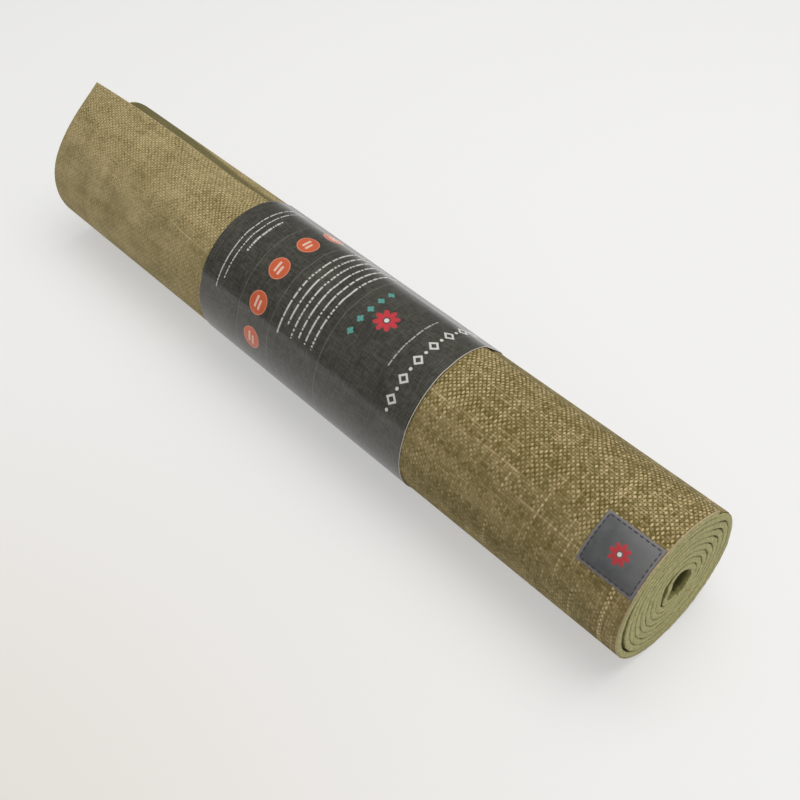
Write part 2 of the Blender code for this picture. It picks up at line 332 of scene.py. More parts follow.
class Shade:
    """A number in a material's node tree, so that a pattern is written as a sum."""

    def __init__(self, tree, socket):
        self.tree = tree
        self.socket = socket

    def math(self, operation, *others):
        return worked_out(self.tree, operation, self, *others)

    def __add__(self, other):
        return self.math("ADD", other)

    def __sub__(self, other):
        return self.math("SUBTRACT", other)

    def __mul__(self, other):
        return self.math("MULTIPLY", other)

    def __truediv__(self, other):
        return self.math("DIVIDE", other)

    def __radd__(self, other):
        return self.math("ADD", other)

    def __rmul__(self, other):
        return self.math("MULTIPLY", other)

    def __rsub__(self, other):
        return worked_out(self.tree, "SUBTRACT", other, self)

    def floor(self):
        return self.math("FLOOR")

    def abs(self):
        return self.math("ABSOLUTE")

    def cos(self):
        return self.math("COSINE")

    def root(self):
        return self.math("MAXIMUM", 0.0).math("SQRT")

    def above(self, level, softness):
        """0 below the level and 1 above it, easing over the softness."""
        node = self.tree.nodes.new("ShaderNodeMapRange")
        node.interpolation_type = "SMOOTHSTEP"
        self.tree.links.new(self.socket, node.inputs["Value"])
        node.inputs["From Min"].default_value = level - 0.5 * softness
        node.inputs["From Max"].default_value = level + 0.5 * softness
        return Shade(self.tree, node.outputs["Result"])

    def within(self, low, high, softness):
        """1 between two levels and 0 outside them, easing over the softness."""
        return self.above(low, softness) * (1.0 - self.above(high, softness))


def new_finish(name, roughness, sheen=0.0):
    """A material with its shader, in which a surface's colour and relief are worked out."""
    finish = bpy.data.materials.new(name)
    finish.use_nodes = True
    shader = finish.node_tree.nodes["Principled BSDF"]
    shader.inputs["Roughness"].default_value = roughness
    shader.inputs["Sheen Weight"].default_value = sheen
    shader.inputs["Sheen Roughness"].default_value = 0.5
    return finish, finish.node_tree, shader


def parts_of(tree, place):
    """A place's three numbers."""
    split = tree.nodes.new("ShaderNodeSeparateXYZ")
    tree.links.new(place, split.inputs[0])
    return [Shade(tree, part) for part in split.outputs]


def sheet_place(tree, layer="flat"):
    """Places on the flat sheet: across the mat and along it, in metres, or along it and its depth."""
    uv = tree.nodes.new("ShaderNodeUVMap")
    uv.uv_map = layer
    return parts_of(tree, uv.outputs[0])[:2]


def piece_place(tree):
    """Places in the piece's own space, in metres."""
    return tree.nodes.new("ShaderNodeTexCoord").outputs["Object"]


def clouds(tree, place, scale, detail=2.0):
    """Cloudy grain at a place, from 0 to 1."""
    cloudy = tree.nodes.new("ShaderNodeTexNoise")
    cloudy.inputs["Scale"].default_value = scale
    cloudy.inputs["Detail"].default_value = detail
    tree.links.new(place, cloudy.inputs["Vector"])
    return Shade(tree, cloudy.outputs[0])


def grain(tree, u, v, size_u, size_v, detail=2.0, seed=0.0):
    """Cloudy grain of the given size along each way, from 0 to 1."""
    join = tree.nodes.new("ShaderNodeCombineXYZ")
    for slot, value in zip(join.inputs, (u / size_u, v / size_v, seed)):
        feed(tree, slot, value)
    return clouds(tree, join.outputs[0], 1.0, detail)


def cells(tree, place, scale):
    """How far a place lies from the middle of its cell."""
    cellular = tree.nodes.new("ShaderNodeTexVoronoi")
    cellular.inputs["Scale"].default_value = scale
    tree.links.new(place, cellular.inputs["Vector"])
    return Shade(tree, cellular.outputs["Distance"])


def chance(tree, first, second, seed):
    """An even chance between 0 and 1 for each pair of whole numbers."""
    join = tree.nodes.new("ShaderNodeCombineXYZ")
    for slot, value in zip(join.inputs, (first, second, seed)):
        feed(tree, slot, value)
    speckle = tree.nodes.new("ShaderNodeTexWhiteNoise")
    speckle.noise_dimensions = "3D"
    tree.links.new(join.outputs[0], speckle.inputs["Vector"])
    return Shade(tree, speckle.outputs["Value"])


def blend_colours(tree, share, first, second):
    """Mix two colours, or colours already mixed, by a share."""
    mix = tree.nodes.new("ShaderNodeMix")
    mix.data_type = "RGBA"
    tree.links.new(share.socket, mix.inputs["Factor"])
    colour_slots = [slot for slot in mix.inputs if slot.type == "RGBA"]
    for slot, colour in zip(colour_slots, (first, second)):
        if isinstance(colour, tuple):
            slot.default_value = (*colour, 1.0)
        else:
            tree.links.new(colour, slot)
    return [slot for slot in mix.outputs if slot.type == "RGBA"][0]


def add_relief(tree, shader, height, distance):
    """Raise the surface by a height between 0 and 1 times a distance."""
    relief = tree.nodes.new("ShaderNodeBump")
    relief.inputs["Strength"].default_value = 1.0
    relief.inputs["Distance"].default_value = distance
    tree.links.new(height.socket, relief.inputs["Height"])
    tree.links.new(relief.outputs[0], shader.inputs["Normal"])


MOTTLES_PER_METRE = 460.0
CELLS_PER_METRE = 1500.0
BROKEN_SIZE = (0.004, 0.003)
INNER_SHADE_FROM = (0.0032, 0.002)
FOAM_RELIEF = 0.0004
FOAM_CUT = ((0.33, 0.308, 0.108), (0.56, 0.515, 0.215))
FOAM_PORE = (0.20, 0.185, 0.06)
FOAM_RIM_SHADE = (0.135, 0.125, 0.035)
FOAM_INNER_SHADE = (0.080, 0.074, 0.016)


def foam_finish():
    """Sage foam with fine cells and a mottle where it was cut. Away from its cut sides it is darkened by
    painted shade, and painted shade lines follow its rims where the turns meet.
    """
    finish, tree, shader = new_finish("foam_finish", roughness=0.88, sheen=0.1)
    place = piece_place(tree)
    mottle = clouds(tree, place, MOTTLES_PER_METRE, 5.0)
    pores = cells(tree, place, CELLS_PER_METRE)
    used, depth = sheet_place(tree, "cut")
    off_middle = (depth / FOAM_THICKNESS - (FOAM_FRONT / FOAM_THICKNESS + 0.5)).abs() * 2.0
    broken = grain(tree, used, depth, *BROKEN_SIZE, seed=8.0)
    # Painted shade: dark broken lines along the foam's front and back rims, where the turns meet and the
    # gaps between them lie in shadow.
    rim = (off_middle + (mottle - 0.5) * 1.6 + (broken - 0.5) * 2.0).above(1.06, 0.5)
    # Painted shade: away from its cut sides, where it shows only in the gaps between the turns, the foam is
    # darkened as if in shadow.
    width = sheet_place(tree)[0].abs()
    inner_shade = 1.0 - (width - (HALF_WIDTH - INNER_SHADE_FROM[0])).above(0.0, INNER_SHADE_FROM[1])
    colour = blend_colours(tree, mottle.above(0.5, 0.4), *FOAM_CUT)
    colour = blend_colours(tree, pores.above(0.15, 0.35) * 0.25 + 0.75, FOAM_PORE, colour)
    colour = blend_colours(tree, rim * 0.45, colour, FOAM_RIM_SHADE)
    colour = blend_colours(tree, inner_shade * 0.75, colour, FOAM_INNER_SHADE)
    tree.links.new(colour, shader.inputs["Base Color"])
    add_relief(tree, shader, pores * 0.6 + mottle * 1.2, FOAM_RELIEF)
    return finish


foam_base = wound_sheet("foam_sheet", foam_finish(), foam_section, FOAM_STATIONS, FOAM_CHORD)
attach(foam_base, "roll")
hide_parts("foam_base")


# Jute facing
# A coarse plain weave of jute yarns, about 2 mm apart each way, dyed olive so that the raised yarns
# stay straw-coloured. It is bonded to the foam and cut flush with it, which leaves its yarns' ends.
FACING_STATIONS = [-0.298 + 0.0075 * i for i in range(22)] + [-0.1, 0.0, 0.1, 0.2, 0.29]
FACING_CHORD = 0.0025
FACING_RECESS = 0.0024
FACING_INSET = 0.0001
FACING_HEM = 0.0004
FACING_WAVER = 0.00025
FACING_WAVER_LENGTH = 0.0025


def facing_section(column, stations):
    """The facing across the mat: flush with the foam outside, drawn in between the inner turns."""
    used = 0.0 if column is None else column[1]
    angle = SEAM_ANGLE if column is None else column[0]
    width = HALF_WIDTH - FACING_RECESS * tucked(angle) - FACING_INSET
    low = width + FACING_WAVER * wander(used, FACING_WAVER_LENGTH, 21.0)
    high = width - FACING_WAVER * wander(used, FACING_WAVER_LENGTH, 25.0)
    back = FACING_THICKNESS
    front = 0.25 * back
    loop = [(-low, front), (FACING_HEM - low, 0.0)]
    loop += [(x, 0.0) for x in stations]
    loop += [(high - FACING_HEM, 0.0), (high, front), (high, back), (high - FACING_HEM, back)]
    loop += [(x, back) for x in reversed(stations)]
    return loop + [(FACING_HEM - low, back), (-low, back)]


YARNS_APART = (0.00195, 0.00191)
WEAVE_SKEW = 0.04
YARN_BEND = 2.3
BEND_SIZE = (0.02, 0.06)
FIBRE_SIZE = (0.0035, 0.0004)
SLUB_LENGTHS = (0.045, 0.060)
STREAK_SIZE = (0.005, 0.10)
LANE_SIZE = (0.12, 0.006)
CLOUD_SIZE = (0.030, 0.020)
FAR_FADE = (-0.1, 0.3)
LIT_TOP_FADE = (0.056, 0.05)
EDGE_YARN = (0.2895, 0.2925)
TUCK_SHADOW_EDGE = (-0.0135, 0.004)
TUCK_SHADOW_HAZE = (-0.016, 0.018)
TUCK_SHADOW_END = (0.012, 0.01)
TUCK_SHADOW_LIFT = 1.15 * LIFT
SIDE_FRAY = (0.0010, 0.0008)
END_FRAY = (0.0009, 0.0008)
JUTE_RELIEF = 0.0004
JUTE_SHADOW = (0.116, 0.086, 0.012)
JUTE_STRAW = (0.61, 0.478, 0.246)
JUTE_PIT_SHADE = (0.052, 0.039, 0.003)
JUTE_FAR_TONES = ((0.25, 0.215, 0.085), (0.45, 0.37, 0.175))
JUTE_TUCK_SHADOW = (0.095, 0.085, 0.022)
JUTE_FRAYED = (0.52, 0.42, 0.26)


def jute_finish():
    """Plain weave of slubby yarns, with streaks where a yarn is thick and painted shade in the pits between
    the yarns.
    a and b are places counted in yarns each way, and i and j the yarns' numbers."""
    finish, tree, shader = new_finish("jute_finish", roughness=0.92)
    u, v = sheet_place(tree)
    bend_u = grain(tree, u, v, BEND_SIZE[0], BEND_SIZE[1], seed=1.0) - 0.5
    bend_v = grain(tree, u, v, BEND_SIZE[1], BEND_SIZE[0], seed=2.0) - 0.5
    a = (u + v * WEAVE_SKEW) / YARNS_APART[0] + bend_u * YARN_BEND
    b = (v - u * WEAVE_SKEW) / YARNS_APART[1] + bend_v * YARN_BEND
    i = a.floor()
    j = b.floor()
    near_a = a - i - 0.5
    near_b = b - j - 0.5
    over = ((i + j) * math.pi).cos()
    yarn_u = (1.0 - near_b * near_b * 3.6).root() * 0.8 - over * (near_a * math.pi).cos() * 0.32
    yarn_v = (1.0 - near_a * near_a * 3.6).root() * 0.8 + over * (near_b * math.pi).cos() * 0.32
    top_v = (yarn_v - yarn_u).above(0.0, 0.2)
    height = yarn_u.math("MAXIMUM", yarn_v)
    fibre_u = grain(tree, u, v, FIBRE_SIZE[0], FIBRE_SIZE[1], detail=3.0, seed=3.0) - 0.5
    fibre_v = grain(tree, u, v, FIBRE_SIZE[1], FIBRE_SIZE[0], detail=3.0, seed=4.0) - 0.5
    start_v = chance(tree, i, 1.0, 1.5)
    start_u = chance(tree, j, 2.0, 2.5)
    length_v = v / SLUB_LENGTHS[0] + start_v * 9.0
    length_u = u / SLUB_LENGTHS[1] + start_u * 9.0
    slub_v = chance(tree, i, length_v.floor(), 4.5).above(0.955, 0.03)
    slub_u = chance(tree, j, length_u.floor(), 5.5).above(0.965, 0.03)
    slub_v = slub_v * ((length_v - length_v.floor()) * math.pi).math("SINE")
    slub_u = slub_u * ((length_u - length_u.floor()) * math.pi).math("SINE")
    edge_slub = chance(tree, i, 3.0, 9.5).above(0.35, 0.1) * u.within(*EDGE_YARN, 0.0004)
    tone_v = (start_v - 0.5) * 0.25 + (chance(tree, i, j, 3.5) - 0.5) * 0.6 + fibre_v * 1.7
    tone_u = (start_u - 0.5) * 0.25 + (chance(tree, i, j, 6.5) - 0.5) * 0.5 + fibre_u * 1.7
    streak = (grain(tree, u, v, *STREAK_SIZE, seed=6.0) - 0.5) * 0.4
    lane = (grain(tree, u, v, *LANE_SIZE, seed=7.0) - 0.5) * 0.4
    far = 1.0 - u.above(*FAR_FADE)
    # Painted light: upper is 1 on the roll's top and eases to 0 down its front. It makes the top lighter
    # and its weave more contrasty, and the lower front darker and flatter, as light from above would.
    upper = 1.0 - (v + bend_u * 0.05).above(*LIT_TOP_FADE)
    cloud = (grain(tree, u, v, *CLOUD_SIZE, detail=3.5, seed=5.0) - 0.5) * (far * 0.45 + 0.55)
    # Its last term is painted shade on the lower front of the near part.
    level = cloud + streak + lane + far * (upper * 0.10 + 0.25) - (1.0 - upper) * (1.0 - far) * 0.085
    lit_contrast = (0.5 + upper * 0.5) * (1.0 - far * 0.2)
    slubs = 0.4 - far * 0.32
    # Painted shade: each yarn is lighter on its crown and darker down its flanks, more so on the lit top.
    crown_shade = upper * 3.0 + 1.5
    crown_shade_v = 1.0 - near_a * near_a * crown_shade
    crown_shade_u = 1.0 - near_b * near_b * crown_shade
    # Painted highlight: a brightening of the raised yarns in the pattern that light from one side gives
    # them, strongest on the top.
    raised_highlight = ((a - b) * math.pi).cos() * 0.54 - ((a + b) * math.pi).cos() * 0.46
    raised_highlight = raised_highlight * (upper * 0.225 + 0.02) * (1.0 - far * 0.45)
    light_v = (tone_v * lit_contrast + level + slub_v * slubs + edge_slub * 0.6 + 0.455) * crown_shade_v + raised_highlight
    light_u = (tone_u * lit_contrast + level * 0.7 + slub_u * slubs + 0.365) * crown_shade_u + raised_highlight
    colour_v = blend_colours(tree, light_v.above(0.5, 1.2), JUTE_SHADOW, JUTE_STRAW)
    colour_u = blend_colours(tree, light_u.above(0.5, 1.2), JUTE_SHADOW, JUTE_STRAW)
    colour = blend_colours(tree, top_v, colour_u, colour_v)
    # Painted shade in the pits between the yarns, deeper on the top.
    pit_shade = 1.0 - height.above(0.62, 0.45)
    colour = blend_colours(tree, pit_shade * (upper * 0.2 + 0.35), colour, JUTE_PIT_SHADE)
    # A paler, flatter mix of tones over the far part of the roll, less of it on the top.
    worn = blend_colours(tree, (cloud + 0.5).above(0.5, 0.7), *JUTE_FAR_TONES)
    colour = blend_colours(tree, far * (0.35 - upper * 0.17), colour, worn)
    # Painted shadow: a dark stripe on the next turn just past the free edge, where the edge shades it; it
    # moves out as the corner lifts.
    askew = ((EDGE_TURNS_FROM - u) / (EDGE_TURNS_FROM + HALF_WIDTH)).math("MAXIMUM", 0.0)
    askew = askew.math("POWER", EDGE_TURN_POWER) * (STEPS_FOLLOW[0] * math.radians(EDGE_TURN))
    behind = v - (askew + math.radians(SEAM_ANGLE + 360.0 - edge_angle(0.0))) * MIDDLE_RADIUS
    raise_edge = ((LIFT_FROM - u) / (LIFT_FROM + HALF_WIDTH)).math("MAXIMUM", 0.0)
    behind = behind + raise_edge.math("POWER", LIFT_POWER) * TUCK_SHADOW_LIFT
    tuck_shadow = behind.above(*TUCK_SHADOW_EDGE) * 0.6 + behind.above(*TUCK_SHADOW_HAZE) * 0.2
    tuck_shadow = tuck_shadow * (1.0 - behind.above(*TUCK_SHADOW_END))
    colour = blend_colours(tree, tuck_shadow, colour, JUTE_TUCK_SHADOW)
    frayed = 1.0 - (HALF_WIDTH - u.abs()).above(*SIDE_FRAY)
    frayed = frayed * (0.75 - far * 0.5) + (1.0 - v.above(*END_FRAY)) * 0.35
    colour = blend_colours(tree, frayed.math("MINIMUM", 0.8), colour, JUTE_FRAYED)
    tree.links.new(colour, shader.inputs["Base Color"])
    relief = height * 0.7 + fibre_v * 0.2 + fibre_u * 0.2 + (slub_v * top_v) * 0.3
    add_relief(tree, shader, relief, JUTE_RELIEF)
    return finish


facing = wound_sheet("jute_cloth", jute_finish(), facing_section, FACING_STATIONS, FACING_CHORD)
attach(facing, "roll")
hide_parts("jute_facing")


# Corner patch
# A small patch of slate grey soft imitation leather with heat-rounded edges. It lies on the jute
# beside the mat's cut edge, and the stitching pulls a shallow furrow into it.
PATCH_X = (0.2613, 0.3033)
PATCH_ANGLES = (111.25, 148.0)
PATCH_SPAN = (PATCH_X[1] - PATCH_X[0], math.radians(PATCH_ANGLES[1] - PATCH_ANGLES[0]) * ROLL_RADIUS)
PATCH_GRID = (84, 72)
PATCH_LIFT = 0.00012
PATCH_THICKNESS = 0.00035
PATCH_ROUND = (0.00022, 0.0005)
PATCH_WAVE = (0.00004, 0.009)
PADDING = 0.00010
PADDING_FROM = 0.003
PADDING_RISE = 0.004
STITCH_MARGIN = 0.0019
STITCH_FURROW = (0.00016, 0.0005)


def on_patch(along, around, height):
    """A point at a height above the jute, at a place on the flat patch."""
    angle = PATCH_ANGLES[0] + math.degrees(around / ROLL_RADIUS)
    return below_facing(PATCH_X[0] + along, angle, -height)


def patch_height(along, around):
    """The patch's upper side: rounded at its edges, drawn down along its stitching, padded inside."""
    inside = min(along, PATCH_SPAN[0] - along, around, PATCH_SPAN[1] - around)
    height = PATCH_LIFT + PATCH_THICKNESS
    height -= PATCH_ROUND[0] * (1.0 - smooth(inside / PATCH_ROUND[1]))
    height -= STITCH_FURROW[0] * math.exp(-((inside - STITCH_MARGIN) / STITCH_FURROW[1]) ** 2)
    height += PADDING * smooth((inside - PADDING_FROM) / PADDING_RISE)
    size, length = PATCH_WAVE
    return height + size * wander(along, length, 40.0 + around / length)


def patch_mesh():
    """The patch as a closed mesh, with its vertices' places on the flat patch."""
    mesh = bmesh.new()
    places = {}
    sides = []
    for upper in (True, False):
        rows = []
        for i in range(PATCH_GRID[0] + 1):
            row = []
            for j in range(PATCH_GRID[1] + 1):
                along = PATCH_SPAN[0] * i / PATCH_GRID[0]
                around = PATCH_SPAN[1] * j / PATCH_GRID[1]
                height = patch_height(along, around) if upper else PATCH_LIFT
                vertex = mesh.verts.new(on_patch(along, around, height))
                places[vertex] = (along, around)
                row.append(vertex)
            rows.append(row)
        sides.append(rows)
    for rows in sides:
        for first, second in zip(rows, rows[1:]):
            for j in range(PATCH_GRID[1]):
                mesh.faces.new((first[j], first[j + 1], second[j + 1], second[j]))
    rims = []
    for rows in sides:
        rim = rows[0] + [row[-1] for row in rows[1:]] + rows[-1][-2::-1]
        rims.append(rim + [row[0] for row in rows[-2:0:-1]])
    wrap_rings(mesh, rims)
    return mesh, places


def flower(across, around, middle, radius, petals):
    """How far inside a flower's outline a place lies, as a share of its radius, with its distance out."""
    along = across - middle[0]
    turned = around - middle[1]
    distance = (along * along + turned * turned).root() / radius
    turn = turned.math("ARCTAN2", along)
    outline = (turn * (0.5 * petals)).cos().abs() * 0.42 + 0.58
    return outline - distance, distance


HEM = (0.0016, 0.0006)
PATCH_FLOWER = (0.0215, 0.0178)
PATCH_FLOWER_RADIUS = 0.0072
SOFT_GRAIN = 0.007
FINE_GRAIN = 0.0006
PATCH_RELIEF = 0.00012
SLATE = ((0.080, 0.083, 0.086), (0.114, 0.117, 0.120))
SLATE_PAINTED_SHEEN = (0.185, 0.183, 0.183)
SLATE_SHADE = (0.055, 0.058, 0.066)
SLATE_HEM = (0.200, 0.185, 0.195)
PETAL_RED = (0.50, 0.030, 0.040)
HEART_WHITE = (0.72, 0.68, 0.62)


def patch_finish():
    """Slate leather cloth with a paler hem, fine grain and a small printed flower, with a painted sheen
    towards its near upper corner and painted shade on its lower part.
    """
    finish, tree, shader = new_finish("patch_finish", roughness=0.55)
    u, v = sheet_place(tree)
    border = u.math("MINIMUM", PATCH_SPAN[0] - u).math("MINIMUM", v.math("MINIMUM", PATCH_SPAN[1] - v))
    soft = grain(tree, u, v, SOFT_GRAIN, SOFT_GRAIN, detail=3.0, seed=1.0)
    fine = grain(tree, u, v, FINE_GRAIN, FINE_GRAIN, seed=2.0)
    field = blend_colours(tree, soft.above(0.5, 0.5), *SLATE)
    # Painted highlight: the patch grows lighter towards the mat's near end and its upper side, as a sheen
    # would.
    painted_sheen = (u / PATCH_SPAN[0] - v / PATCH_SPAN[1] * 0.6).above(0.45, 1.1)
    field = blend_colours(tree, painted_sheen * 0.8, field, SLATE_PAINTED_SHEEN)
    # Painted shade: the lower part of the patch is darker.
    lower_shade = (v / PATCH_SPAN[1]).above(0.85, 0.5)
    field = blend_colours(tree, lower_shade * 0.45, field, SLATE_SHADE)
    hem = 1.0 - border.above(*HEM)
    colour = blend_colours(tree, hem * (0.55 + fine * 0.5), field, SLATE_HEM)
    inside, distance = flower(u, v, PATCH_FLOWER, PATCH_FLOWER_RADIUS, petals=8)
    petals = inside.above(0.0, 0.06) * distance.above(0.30, 0.06)
    rib = (inside - 0.16).abs().above(0.035, 0.02)
    colour = blend_colours(tree, petals * (0.55 + rib * 0.45), colour, PETAL_RED)
    colour = blend_colours(tree, 1.0 - distance.above(0.19, 0.05), colour, HEART_WHITE)
    tree.links.new(colour, shader.inputs["Base Color"])
    add_relief(tree, shader, fine * 0.6 + petals * 0.5 + soft * 0.5, PATCH_RELIEF)
    return finish


patch_shape, patch_places = patch_mesh()
patch = make_piece("corner_patch", patch_shape, [patch_finish()], flat=patch_places)
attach(patch, "roll")
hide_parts("corner_label")


# Patch stitching
# A lockstitch in twisted dark thread round the patch, 2 mm inside its edge. Each stitch lies proud
# of the patch and dives into it at both ends.
STITCH_APART = 0.0042
STITCH_ENDS = (0.14, 0.86)
STITCH_STEPS = 10
STITCH_SINK = 0.0003
STITCH_ARCH = 0.00042
THREAD_RADIUS = 0.00030
THREAD_SIDES = 10
THREAD_TWIST = 0.0007
THREAD_RELIEF = 0.00008
THREAD_COLOURS = ((0.018, 0.018, 0.022), (0.050, 0.048, 0.055))


def stitch_round(mesh, start, stop):
    """One stitch between two places on the patch, as a closed tube that arches over it."""
    length = math.dist(start, stop)
    side = ((stop[1] - start[1]) / length, (start[0] - stop[0]) / length)
    rings = []
    for step in range(STITCH_STEPS + 1):
        share = step / STITCH_STEPS
        along = start[0] + (stop[0] - start[0]) * share
        around = start[1] + (stop[1] - start[1]) * share
        arch = math.sin(math.pi * share)
        radius = THREAD_RADIUS * (0.55 + 0.45 * arch ** 0.5)
        middle = PATCH_LIFT + PATCH_THICKNESS - STITCH_SINK + STITCH_ARCH * arch ** 0.6
        ring = []
        for k in range(THREAD_SIDES):
            turn = 2.0 * math.pi * k / THREAD_SIDES
            out = radius * math.cos(turn)
            height = middle + radius * math.sin(turn)
            ring.append(mesh.verts.new(on_patch(along + side[0] * out, around + side[1] * out, height)))
        rings.append(ring)
    wrap_rings(mesh, rings)
    mesh.faces.new(rings[0])
    mesh.faces.new(rings[-1])


def stitching_mesh():
    """The row of stitches round the patch, spread evenly between its corners."""
    mesh = bmesh.new()
    low = (STITCH_MARGIN, STITCH_MARGIN)
    high = (PATCH_SPAN[0] - STITCH_MARGIN, PATCH_SPAN[1] - STITCH_MARGIN)
    corners = [low, (high[0], low[1]), high, (low[0], high[1])]
    for corner, following in zip(corners, corners[1:] + corners[:1]):
        count = round(math.dist(corner, following) / STITCH_APART)
        for k in range(count):
            ends = []
            for place in STITCH_ENDS:
                share = (k + place) / count
                ends.append(tuple(a + (b - a) * share for a, b in zip(corner, following)))
            stitch_round(mesh, *ends)
    return mesh


def thread_finish():
    """Near-black thread with a slanting twist."""
    finish, tree, shader = new_finish("thread_finish", roughness=0.7, sheen=0.2)
    x, y, z = parts_of(tree, piece_place(tree))
    ply = ((x + y - z) * (2.0 * math.pi / THREAD_TWIST)).cos() * 0.5 + 0.5
    tree.links.new(blend_colours(tree, ply, *THREAD_COLOURS), shader.inputs["Base Color"])
    add_relief(tree, shader, ply, THREAD_RELIEF)
    return finish


stitches = make_piece("patch_stitches", stitching_mesh(), [thread_finish()])
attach(stitches, "roll")
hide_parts("label_stitching")


# Card sleeve
# One strip of white card, printed charcoal with a linen pattern and gloss varnished, bent round the
# roll and lapped on itself. Its cut edges show the white card.
SLEEVE_RADIUS = ROLL_RADIUS + SLEEVE_CLEARANCE
SLEEVE_MIDDLE = (-0.1059, 0.1148)
SLEEVE_SKEW = (-0.0049, -0.0041)
LAP_ANGLE = 322.5
LAP_SPAN = 15.0
LAP_STEP = 7.5
GLUE_THICKNESS = 0.0001
GLUE_GAP = 0.00005
PATCH_ROOM = 0.00075
PATCH_ROOM_ANGLES = (105.0, 150.0)
HOLLOW_FROM = (39.0, 31.5)
HOLLOW_TO = 56.75
CARD_WIDTH = SLEEVE_MIDDLE[1] - SLEEVE_MIDDLE[0]
CARD_SWELL = 0.00022
CARD_ROUND = 0.00012 / CARD_WIDTH
CARD_BEVEL = 0.00005
CARD_STEP = 1.5
CARD_INNER = [0.02 + 0.03 * k for k in range(33)]
CARD_ACROSS = [0.0, CARD_ROUND, 0.004, *CARD_INNER, 0.996, 1.0 - CARD_ROUND, 1.0]
PRINT_RADIUS = 0.0555


def card_radius(angle, share=0.5):
    """Inner side of the card, which climbs over its own start, stands off the patch and runs
    straight across the hollow behind the mat's free edge, wider towards the card's near edge."""
    climb = smooth((angle - LAP_ANGLE - 360.0 + LAP_STEP) / LAP_STEP)
    around = angle % 360.0
    low, high = PATCH_ROOM_ANGLES
    room = smooth((around - low + LAP_STEP) / LAP_STEP) * smooth((high + LAP_STEP - around) / LAP_STEP)
    radius = SLEEVE_RADIUS + PATCH_ROOM * room
    hollow = HOLLOW_FROM[0] + (HOLLOW_FROM[1] - HOLLOW_FROM[0]) * share
    half = math.radians(0.5 * (HOLLOW_TO - hollow))
    off_middle = math.radians(abs(around - 0.5 * (HOLLOW_TO + hollow)))
    radius *= min(math.cos(half) / math.cos(min(off_middle, half)), 1.0)
    return radius + climb * (CARD_THICKNESS + GLUE_THICKNESS + 2.0 * GLUE_GAP)


def card_edges(turn):
    """Where the card's far and near edges lie along the roll; they were cut slightly askew."""
    return [middle + skew * math.cos(turn) for middle, skew in zip(SLEEVE_MIDDLE, SLEEVE_SKEW)]


def card_place(share, angle, depth):
    """A point of the card, from its far edge to its near one, at a depth below its printed side."""
    turn = math.radians(angle)
    low, high = card_edges(turn)
    radius = card_radius(angle, share) + CARD_THICKNESS
    free = math.sin(math.pi * min(max((angle - LAP_ANGLE) / 360.0, 0.0), 1.0))
    swell = 0.5 + 0.5 * noise.noise(Vector((share * 2.6, math.cos(turn) * 1.3, math.sin(turn) * 1.3)))
    radius += CARD_SWELL * swell * free - depth
    height = max(radius * math.sin(turn), -radius * FLOOR_FLAT)
    return low + (high - low) * share, radius * math.cos(turn), height + AXIS_HEIGHT


def card_mesh():
    """The card as one closed strip, with its vertices' places on the flat print. Its back and its
    cut edges take the second finish."""
    mesh = bmesh.new()
    places = {}
    front = [(share, CARD_BEVEL if share in (0.0, 1.0) else 0.0) for share in CARD_ACROSS]
    outline = front + [(share, CARD_THICKNESS - depth) for share, depth in reversed(front)]
    rings = []
    for k in range(round((360.0 + LAP_SPAN) / CARD_STEP) + 1):
        angle = LAP_ANGLE + CARD_STEP * k
        arc = math.radians(angle - 360.0) * PRINT_RADIUS
        ring = []
        for share, depth in outline:
            vertex = mesh.verts.new(card_place(share, angle, depth))
            places[vertex] = (SLEEVE_MIDDLE[0] + CARD_WIDTH * share, arc)
            ring.append(vertex)
        rings.append(ring)
    sides = wrap_rings(mesh, rings)
    bare = close_ends(mesh, rings)
    for side in sides[len(front) - 1:]:
        bare += side
    for face in bare:
        face.material_index = 1
    return mesh, places


WEAR_SIZE = 0.03
SPECKLE_SIZE = 0.0009
FIBRES_PER_METRE = 900.0
PRINT_RELIEF = 0.00005
CARD_RELIEF = 0.00006

# On the print, sizes and places along the roll are in millimetres, and places round it are angles.
# A rule has its place, where it starts and stops, its width, its strokes' length and a seed.
LINEN_APART = 0.5
LINEN_STRAND = 5.0
RULE_WEIGHT_LENGTH = 0.9
RULES = [
    (-88.0, 44.0, 153.5, 1.0, 2.9, 1.0),
    (-82.5, 44.0, 144.0, 1.0, 2.7, 2.0),
    (-76.4, 79.0, 117.4, 1.7, 2.2, 3.0),
]
RULE_STOPS = (152.5, 142.6, 149.5, 145.5, 146.7, 147.0)
RULES += [(-17.0 + 6.8 * k, 42.0, stop, 1.5, 3.4 - 0.1 * k, 4.0 + k) for k, stop in enumerate(RULE_STOPS)]
FAINT_RULE = (79.0, 70.0, 122.6, 1.1, 2.6, 12.0)
DOT_ROWS = (-60.8, -26.0, 26.2)
DOTS_APART = 1.3
DOT_HALF = 0.3
DISC_ACROSS = -43.2
DISC_ANGLES = (54.5, 83.4, 113.6, 143.0, 172.3)
DISC_RADIUS = 8.7
DISC_RING = 8.0
DISC_BARS = ((-3.0, -1.0, -4.6, 3.9), (0.9, 2.9, -2.6, 4.6))
BLOOM = (54.0, 97.4)
BLOOM_RADIUS = 9.8
LEAF_ACROSS = 38.0
LEAF_ANGLES = (76.0, 86.5, 97.4, 108.0, 119.0)
LEAF_RADIUS = 2.9
LOZENGE_ACROSS = 94.5
LOZENGE_ANGLE = 36.0
LOZENGES_APART = 15.4
LOZENGE_HALF = (4.9, 4.3)
LOZENGE_COUNT = 7.0
LOZENGE_HOLE = 0.52
LOZENGE_TAIL = 2.0
BEAD_RADIUS = 1.3
BARE_EDGE = 0.45
CHARCOAL = ((0.031, 0.030, 0.0245), (0.090, 0.086, 0.070))
STRAY_GREY = (0.13, 0.125, 0.115)
PRINT_WHITE = (0.66, 0.66, 0.62)
DISC_ORANGE = ((0.58, 0.110, 0.045), (0.66, 0.135, 0.055))
